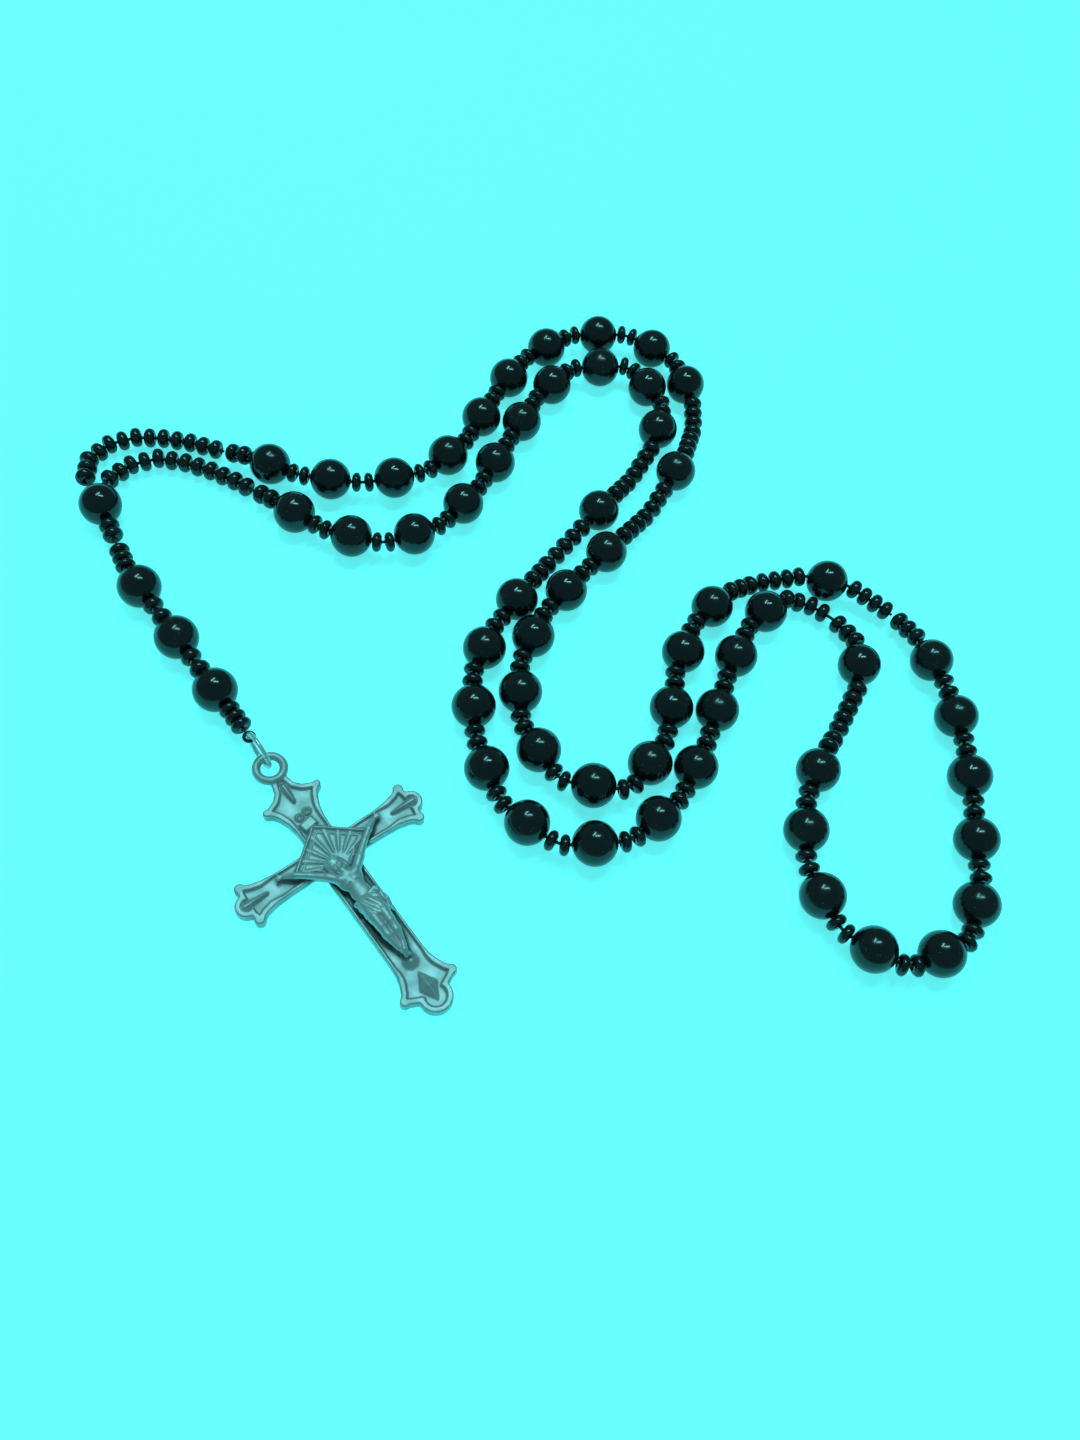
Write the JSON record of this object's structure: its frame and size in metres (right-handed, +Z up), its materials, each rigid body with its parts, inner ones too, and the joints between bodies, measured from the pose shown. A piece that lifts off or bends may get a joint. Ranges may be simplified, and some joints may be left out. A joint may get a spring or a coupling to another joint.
{
  "type": "rosary",
  "caption": "Cord rosary of round glossy beads with small seed beads between them, a pendant, a jump ring and a cast metal crucifix with a figure, laid out flat in a doubled loop.",
  "frame": {"origin": "centre of the laid-out rosary, on the surface it lies on", "axes": "+Z up off the surface, +X along the length of the layout, +Y towards the far side of it"},
  "size_m": [0.1666, 0.1432, 0.0074],
  "materials": {
    "bead": "polished black",
    "seed": "polished black",
    "cord": "black twisted cord",
    "ring": "bright plated wire",
    "crucifix": "silver-coloured casting, slightly dulled"
  },
  "bodies": {
    "loop": {"decade_1_beads": "bead", "decade_1_seeds": "seed", "decade_2_beads": "bead", "decade_2_seeds": "seed", "decade_4_beads": "bead", "decade_4_seeds": "seed", "decade_5_beads": "bead", "decade_5_seeds": "seed", "spacer_seeds_1": "seed", "spacer_seeds_2": "seed", "spacer_seeds_3": "seed", "spacer_seeds_4": "seed", "spacer_seeds_5": "seed", "spacer_seeds_6": "seed", "spacer_seeds_7": "seed", "spacer_seeds_8": "seed", "junction_seeds_out_loop": "seed", "junction_seeds_back_loop": "seed", "loop_cord_out": "cord", "loop_cord_back": "cord"},
    "loop_end": {"decade_3_beads": "bead", "decade_3_seeds": "seed", "spacer_seeds_4_end": "seed", "spacer_seeds_5_end": "seed", "loop_cord_end": "cord"},
    "junction": {"junction_bead": "bead", "junction_seeds_out": "seed", "junction_seeds_back": "seed", "pendant_seeds_junction": "seed", "junction_cord_out": "cord", "junction_cord_back": "cord", "pendant_cord_junction": "cord"},
    "pendant_link_1": {"pendant_seeds_1": "seed", "pendant_cord_1": "cord"},
    "pendant_link_2": {"pendant_seeds_2": "seed", "pendant_cord_2": "cord"},
    "pendant_link_3": {"pendant_seeds_3": "seed", "pendant_cord_3": "cord", "cord_eye": "cord"},
    "ring": {"jump_ring": "ring"},
    "crucifix": {"crucifix_cross": "crucifix", "crucifix_corpus": "crucifix"},
    "father_spin_1": {"our_father_bead_1": "bead"},
    "father_spin_2": {"our_father_bead_2": "bead"},
    "father_spin_3": {"our_father_bead_3": "bead"},
    "father_spin_4": {"our_father_bead_4": "bead"},
    "pendant_spin_1": {"pendant_bead_1": "bead"},
    "pendant_spin_2": {"pendant_bead_2": "bead"},
    "pendant_spin_3": {"pendant_bead_3": "bead"}
  },
  "joints": [
    {"name": "loop_end_fold", "type": "hinge", "parent": "loop", "child": "loop_end", "pos_m": [0.06123, -0.0004, 0.00232], "axis": [-0.3359, -0.9419, 0], "range_deg": [0, 40]},
    {"name": "junction_fold", "type": "hinge", "parent": "loop", "child": "junction", "pos_m": [-0.05475, 0.01959, 0.00208], "axis": [-0.6991, 0.7151, 0], "range_deg": [0, 45]},
    {"name": "pendant_swing", "type": "hinge", "parent": "junction", "child": "pendant_link_1", "pos_m": [-0.07028, -0.00164, 0.0037], "axis": [0, 0, 1], "range_deg": [-30, 8]},
    {"name": "pendant_fold_1", "type": "hinge", "parent": "pendant_link_1", "child": "pendant_link_2", "pos_m": [-0.05923, -0.01378, 0.0037], "axis": [-0.6884, -0.7254, 0], "range_deg": [0, 40]},
    {"name": "pendant_fold_2", "type": "hinge", "parent": "pendant_link_2", "child": "pendant_link_3", "pos_m": [-0.05027, -0.02228, 0.0037], "axis": [-0.6884, -0.7254, 0], "range_deg": [0, 40]},
    {"name": "ring_swing", "type": "hinge", "parent": "pendant_link_3", "child": "ring", "pos_m": [-0.03827, -0.03367, 0.00345], "axis": [0, 0, 1], "range_deg": [-30, 20]},
    {"name": "crucifix_tilt", "type": "hinge", "parent": "ring", "child": "crucifix", "pos_m": [-0.0356, -0.0362, 0.00175], "axis": [-0.6884, -0.7254, 0], "range_deg": [0, 40]},
    {"name": "father_bead_spin_1", "type": "hinge", "parent": "loop", "child": "father_spin_1", "pos_m": [0.02394, 0.03631, 0.0037], "axis": [-0.31, -0.9507, 0], "continuous": true},
    {"name": "father_bead_spin_2", "type": "hinge", "parent": "loop", "child": "father_spin_2", "pos_m": [0.05345, 0.01699, 0.0037], "axis": [0.9982, -0.0601, 0], "continuous": true},
    {"name": "father_bead_spin_3", "type": "hinge", "parent": "loop", "child": "father_spin_3", "pos_m": [0.05974, 0.00026, 0.0037], "axis": [-0.029, 0.9996, 0], "continuous": true},
    {"name": "father_bead_spin_4", "type": "hinge", "parent": "loop", "child": "father_spin_4", "pos_m": [0.01091, 0.02383, 0.0037], "axis": [0.4912, 0.871, 0], "continuous": true},
    {"name": "pendant_bead_spin_1", "type": "hinge", "parent": "pendant_link_1", "child": "pendant_spin_1", "pos_m": [-0.06373, -0.00951, 0.0037], "axis": [0.7254, -0.6884, 0], "continuous": true},
    {"name": "pendant_bead_spin_2", "type": "hinge", "parent": "pendant_link_2", "child": "pendant_spin_2", "pos_m": [-0.05473, -0.01805, 0.0037], "axis": [0.7254, -0.6884, 0], "continuous": true},
    {"name": "pendant_bead_spin_3", "type": "hinge", "parent": "pendant_link_3", "child": "pendant_spin_3", "pos_m": [-0.04581, -0.02651, 0.0037], "axis": [0.7254, -0.6884, 0], "continuous": true}
  ]
}
